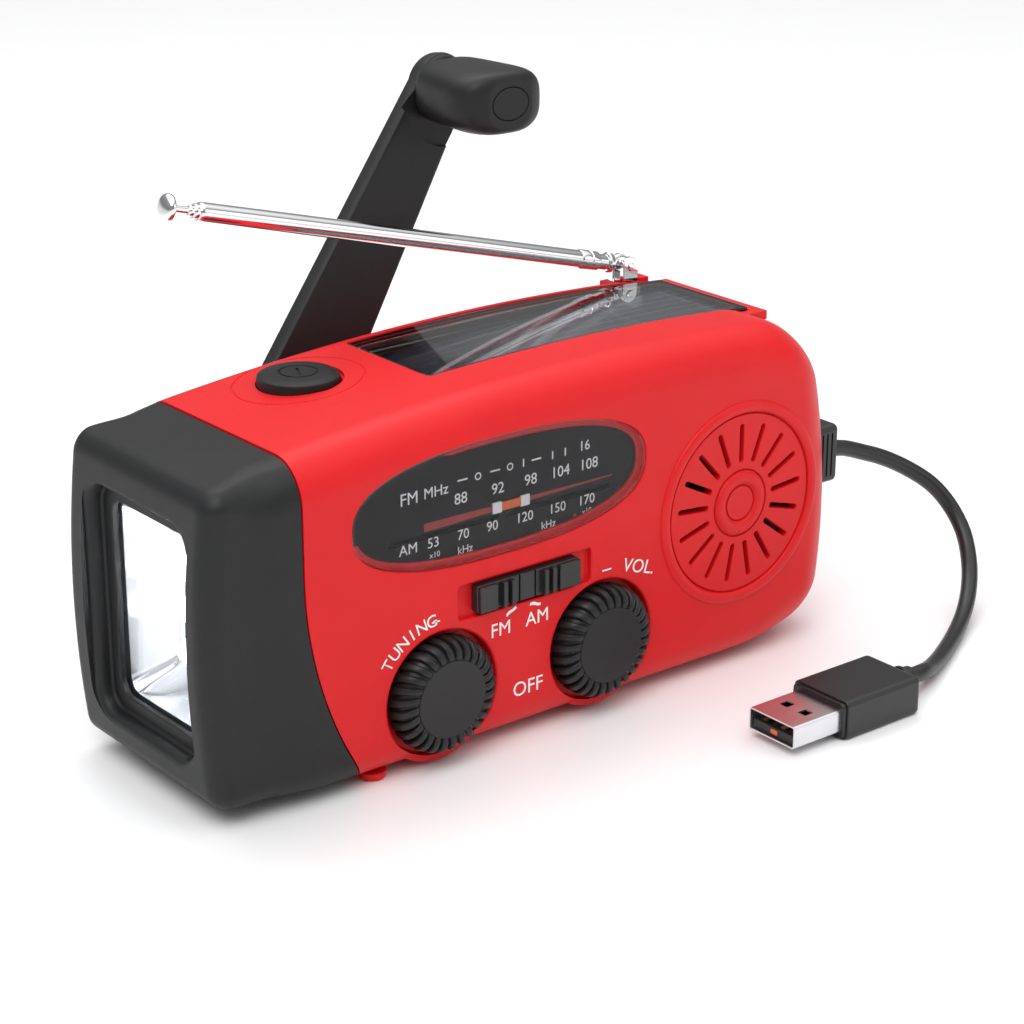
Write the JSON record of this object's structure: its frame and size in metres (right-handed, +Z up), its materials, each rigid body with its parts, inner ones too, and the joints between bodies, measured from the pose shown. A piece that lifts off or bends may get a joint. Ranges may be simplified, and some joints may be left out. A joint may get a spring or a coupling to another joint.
{
  "type": "emergency radio",
  "caption": "Hand-crank emergency radio with torch end, solar top, dial window, two knobs, speaker grille, folding crank, telescopic antenna and a short charging lead.",
  "frame": {"origin": "on the surface that the feet stand on, below the middle of the case", "axes": "+X from the torch to the speaker end, -Y is the dial side, +Z up"},
  "size_m": [0.1859, 0.1164, 0.114],
  "materials": {
    "red_shell": "satin moulded ABS with a fine texture",
    "torch_black": "matt charcoal moulding with a fine grain",
    "clear_plastic": "clear polished acrylic",
    "dial_glass": "smoked glossy acrylic",
    "reflector_white": "bright metallised reflector",
    "led_white": "clear epoxy lamp",
    "circuit_board": "green solder mask",
    "solar_cell": "dark blue-black cells behind fine grid lines",
    "dial_print": "black plate with printed scale",
    "bright_steel": "plated steel",
    "pointer_orange": "orange plastic",
    "knob_black": "matt black moulding",
    "brass_part": "turned brass",
    "steel_part": "zinc plated steel",
    "white_plastic": "natural acetal",
    "pot_blue": "blue plastic",
    "control_black": "satin black plastic",
    "button_rubber": "soft matt rubber",
    "speaker_paper": "black paper cone",
    "ferrite": "dark ferrite",
    "copper_wire": "enamelled copper winding",
    "battery_wrap": "blue shrink wrap",
    "foam_grey": "grey foam pad",
    "crank_black": "matt charcoal moulding with a fine grain",
    "antenna_chrome": "polished chrome",
    "cable_black": "satin black PVC",
    "plug_steel": "nickel-plated sheet",
    "plug_tongue": "black moulded tongue"
  },
  "bodies": {
    "case": {"front_case": "red_shell", "rear_cover": "red_shell", "torch_head": "torch_black", "torch_lens": "clear_plastic", "torch_reflector": "reflector_white", "torch_leds": "led_white", "led_board": "circuit_board", "solar_window": "clear_plastic", "solar_panel": "solar_cell", "dial_window": "dial_glass", "dial_plate": "dial_print", "pointer_rail": "bright_steel", "tuning_capacitor": "white_plastic", "volume_pot": "pot_blue", "slide_switch": "bright_steel", "button_switch": "control_black", "switch_board": "circuit_board", "speaker_frame": "control_black", "speaker_cone": "speaker_paper", "speaker_magnet": "bright_steel", "main_board": "circuit_board", "ferrite_rod": "ferrite", "ferrite_coil": "copper_wire", "rod_clips": "white_plastic", "battery_pack": "battery_wrap", "battery_foam": "foam_grey", "gear_plate_front": "steel_part", "gear_plate_rear": "steel_part", "dynamo_can": "steel_part", "antenna_base": "antenna_chrome", "usb_socket": "bright_steel", "feet": "red_shell", "case_screws": "bright_steel", "side_plug": "cable_black", "usb_cable": "cable_black", "usb_plug_body": "cable_black", "usb_plug_shell": "plug_steel", "usb_plug_tongue": "plug_tongue"},
    "pointer": {"dial_pointer": "pointer_orange"},
    "tuning": {"tuning_knob": "knob_black", "tuning_shaft": "brass_part"},
    "volume": {"volume_knob": "knob_black", "volume_shaft": "steel_part"},
    "slider": {"band_slider": "control_black"},
    "button": {"power_button": "button_rubber"},
    "idler": {"idler_gear": "white_plastic"},
    "rotor": {"dynamo_rotor": "steel_part"},
    "crank": {"crank_shaft": "steel_part", "drive_gear": "white_plastic", "crank_hub": "crank_black"},
    "arm": {"crank_arm": "crank_black", "hinge_pin": "steel_part", "grip_pin": "steel_part"},
    "grip": {"crank_grip": "crank_black"},
    "antenna_swivel": {"antenna_elbow": "antenna_chrome"},
    "antenna_mast": {"antenna_tube_1": "antenna_chrome"},
    "antenna_middle": {"antenna_tube_2": "antenna_chrome"},
    "antenna_upper": {"antenna_tube_3": "antenna_chrome"},
    "antenna_rod": {"antenna_tip": "antenna_chrome"}
  },
  "joints": [
    {"name": "crank_spin", "type": "hinge", "parent": "case", "child": "crank", "pos_m": [-0.0247, 0.028, 0.0434], "axis": [0, -1, 0], "continuous": true},
    {"name": "crank_fold", "type": "hinge", "parent": "crank", "child": "arm", "pos_m": [-0.0247, 0.035, 0.0434], "axis": [-0.7705, 0, 0.6374], "range_deg": [-13.5, 170]},
    {"name": "grip_spin", "type": "hinge", "parent": "arm", "child": "grip", "pos_m": [0.02803, 0.04959, 0.10714], "axis": [0, -1, 0], "continuous": true},
    {"name": "idler_spin", "type": "hinge", "parent": "case", "child": "idler", "pos_m": [-0.00779, 0.012, 0.03724], "axis": [0, -1, 0], "continuous": true},
    {"name": "rotor_spin", "type": "hinge", "parent": "case", "child": "rotor", "pos_m": [-0.01497, 0, 0.02184], "axis": [0, -1, 0], "continuous": true},
    {"name": "tuning_turn", "type": "hinge", "parent": "case", "child": "tuning", "pos_m": [-0.0282, -0.024, 0.0145], "axis": [0, 1, 0], "range_deg": [-135, 135]},
    {"name": "pointer_slide", "type": "slide", "parent": "case", "child": "pointer", "axis": [1, 0, 0], "range_m": [-0.02, 0.02]},
    {"name": "volume_turn", "type": "hinge", "parent": "case", "child": "volume", "pos_m": [0.00945, -0.024, 0.0149], "axis": [0, 1, 0], "range_deg": [0, 300]},
    {"name": "band_slide", "type": "slide", "parent": "case", "child": "slider", "axis": [1, 0, 0], "range_m": [-0.0034, 0.0034]},
    {"name": "power_press", "type": "slide", "parent": "case", "child": "button", "axis": [0, 0, -1], "range_m": [0, 0.0008], "stiffness_N_per_m": 400, "springref_m": -0.0006},
    {"name": "antenna_turn", "type": "hinge", "parent": "case", "child": "antenna_swivel", "pos_m": [0.0549, 0.0225, 0.066], "axis": [0, 0, 1], "range_deg": [-10, 190]},
    {"name": "antenna_tilt", "type": "hinge", "parent": "antenna_swivel", "child": "antenna_mast", "pos_m": [0.0549, 0.0225, 0.0709], "axis": [0, 1, 0], "range_deg": [-12.8, 85]},
    {"name": "antenna_draw_1", "type": "slide", "parent": "antenna_mast", "child": "antenna_middle", "axis": [-0.9668, 0, 0.2554], "range_m": [0, 0.08]},
    {"name": "antenna_draw_2", "type": "slide", "parent": "antenna_middle", "child": "antenna_upper", "axis": [-0.9668, 0, 0.2554], "range_m": [0, 0.08]},
    {"name": "antenna_draw_3", "type": "slide", "parent": "antenna_upper", "child": "antenna_rod", "axis": [-0.9668, 0, 0.2554], "range_m": [0, 0.08]}
  ],
  "couplings": [
    {"joint": "idler_spin", "follows": "crank_spin", "ratio": -2.6},
    {"joint": "rotor_spin", "follows": "crank_spin", "ratio": 8.45},
    {"joint": "pointer_slide", "follows": "tuning_turn", "m_per_rad": 0.0084}
  ]
}
